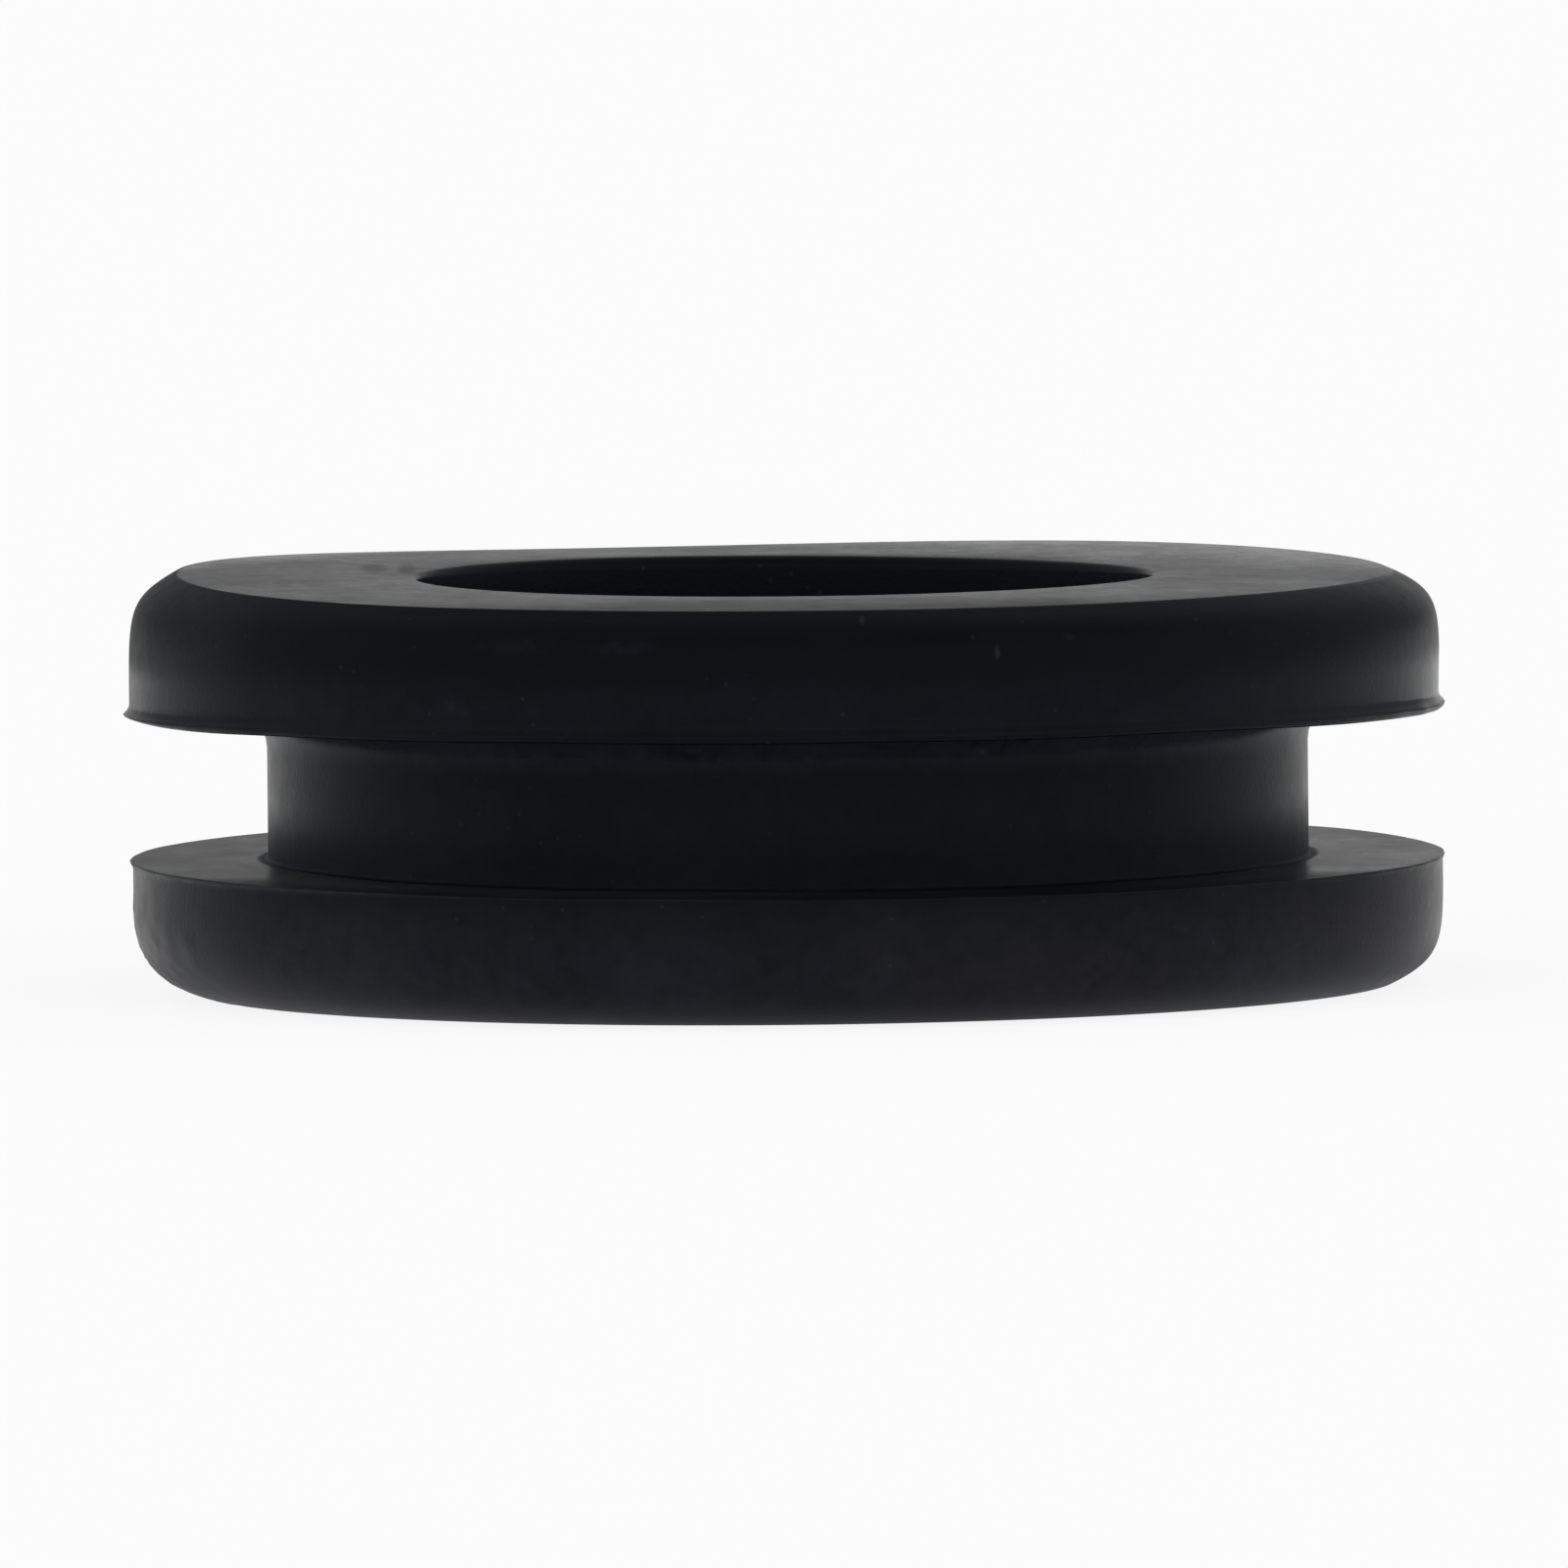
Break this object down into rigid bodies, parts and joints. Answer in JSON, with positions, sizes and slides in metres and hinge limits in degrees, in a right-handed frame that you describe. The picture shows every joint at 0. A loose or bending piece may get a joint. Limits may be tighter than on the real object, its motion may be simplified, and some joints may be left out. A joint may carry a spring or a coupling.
{
  "type": "rubber grommet",
  "caption": "Round black rubber panel grommet: two rounded flanges on a narrower neck, with a panel groove and a plain through bore.",
  "frame": {"origin": "on the bore's axis, in the plane of the lower flange's end face, which the grommet stands on", "axes": "+Z along the bore, from the lower flange to the upper flange"},
  "size_m": [0.0322, 0.0322, 0.0102],
  "materials": {
    "black_rubber": "moulded, matt with a soft sheen at grazing angles"
  },
  "bodies": {
    "root": {"grommet": "black_rubber"}
  },
  "joints": []
}
